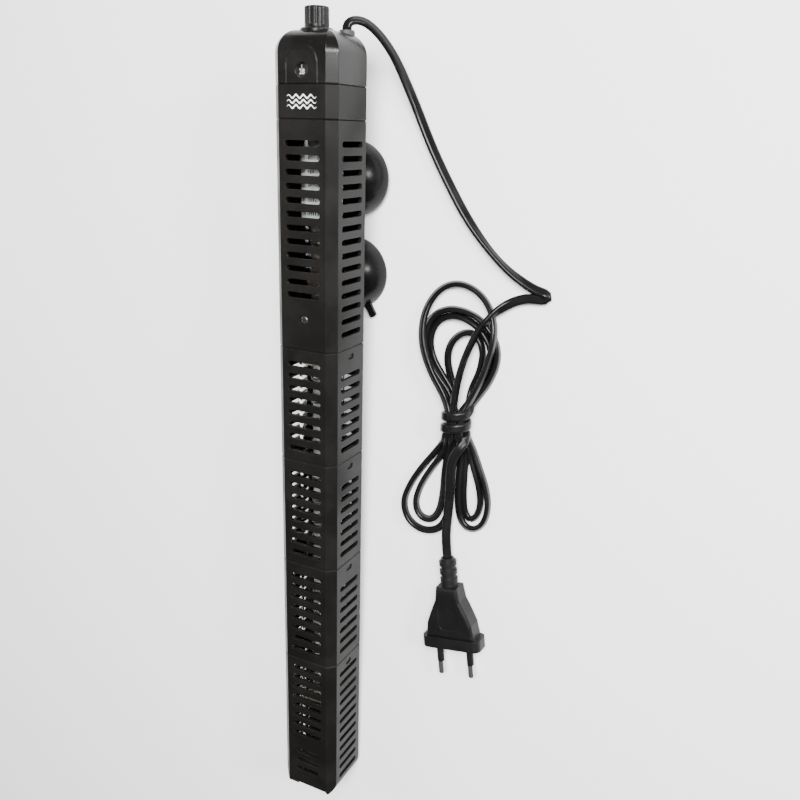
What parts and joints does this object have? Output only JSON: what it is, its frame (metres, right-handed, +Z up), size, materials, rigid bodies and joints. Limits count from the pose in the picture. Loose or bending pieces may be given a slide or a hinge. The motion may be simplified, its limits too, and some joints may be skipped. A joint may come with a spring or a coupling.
{
  "type": "submersible aquarium heater",
  "caption": "Square slotted guard around a quartz heating tube, with a temperature knob and window in its cap, two suction cups behind and a hanked flat lead with a two-pin plug.",
  "frame": {"origin": "middle of the heater's footprint on the table it lies on, without its lead", "axes": "+Z up, +Y from the foot to the knob, +X to the side where the lead leaves; the front face looks up, leaning 3.5 degrees up towards the knob"},
  "size_m": [0.1353, 0.4489, 0.0618],
  "materials": {
    "guard_black": "semi-matt black moulded plastic",
    "knob_black": "satin black",
    "dial_print": "printed",
    "window_clear": "clear",
    "quartz": "clear quartz",
    "cup_rubber": "soft satin black",
    "seal_rubber": "matt black",
    "cord_rubber": "satin black",
    "plug_black": "fine moulded black",
    "pin_metal": "nickel plated",
    "steel": "plated steel",
    "ceramic_white": "unglazed ceramic",
    "heating_wire": "oxidised resistance wire",
    "mica": "pressed mica",
    "bimetal": "rolled strip",
    "component_body": "lacquered",
    "lamp_glass": "glass",
    "wire_sleeve": "silicone"
  },
  "bodies": {
    "root": {"cap_shell": "guard_black", "collar_band": "guard_black", "guard_upper": "guard_black", "guard_segment_1": "guard_black", "guard_segment_2": "guard_black", "guard_segment_3": "guard_black", "guard_foot": "guard_black", "knob_collar": "knob_black", "tube_label": "dial_print", "dial_window": "window_clear", "quartz_tube": "quartz", "shaft_o_ring": "seal_rubber", "cable_gland": "seal_rubber", "tube_cushion": "seal_rubber", "tube_stopper": "seal_rubber", "cord_lead": "cord_rubber", "cord_hank": "cord_rubber", "cord_tail": "cord_rubber", "plug_body": "plug_black", "plug_strain_relief": "plug_black", "pin_sleeves": "plug_black", "plug_pins": "pin_metal", "guard_screw": "steel", "thermostat_frame": "steel", "snap_magnet": "steel", "heater_core": "ceramic_white", "contact_block": "ceramic_white", "heating_winding": "heating_wire", "core_disc_lower": "mica", "core_disc_upper": "mica", "tube_top_disc": "mica", "bimetal_strip": "bimetal", "contact_arm": "bimetal", "moving_contact": "bimetal", "fixed_contact": "bimetal", "suppressor_capacitor": "component_body", "thermal_fuse": "component_body", "indicator_lamp": "lamp_glass", "wire_live": "wire_sleeve", "wire_neutral": "wire_sleeve"},
    "knob": {"temperature_knob": "knob_black", "knob_shaft": "steel", "dial_drum": "dial_print"},
    "plunger": {"adjusting_plunger": "steel"},
    "cup_upper": {"suction_cup_upper": "cup_rubber"},
    "cup_lower": {"suction_cup_lower": "cup_rubber"}
  },
  "joints": [
    {"name": "knob_turn", "type": "hinge", "parent": "root", "child": "knob", "pos_m": [0, 0.21548, 0.0486], "axis": [0, 0.998, 0.0631], "range_deg": [-144, 108]},
    {"name": "plunger_slide", "type": "slide", "parent": "root", "child": "plunger", "axis": [0, 0.998, 0.0631], "range_m": [-0.0008, 0.0006]},
    {"name": "cup_upper_swivel", "type": "hinge", "parent": "root", "child": "cup_upper", "pos_m": [0, 0.14464, 0.02008], "axis": [0, 0.0631, -0.998], "continuous": true},
    {"name": "cup_lower_swivel", "type": "hinge", "parent": "root", "child": "cup_lower", "pos_m": [0, 0.09324, 0.01683], "axis": [0, 0.0631, -0.998], "continuous": true}
  ],
  "couplings": [
    {"joint": "knob_turn", "follows": "plunger_slide", "rad_per_m": 3141.6}
  ]
}
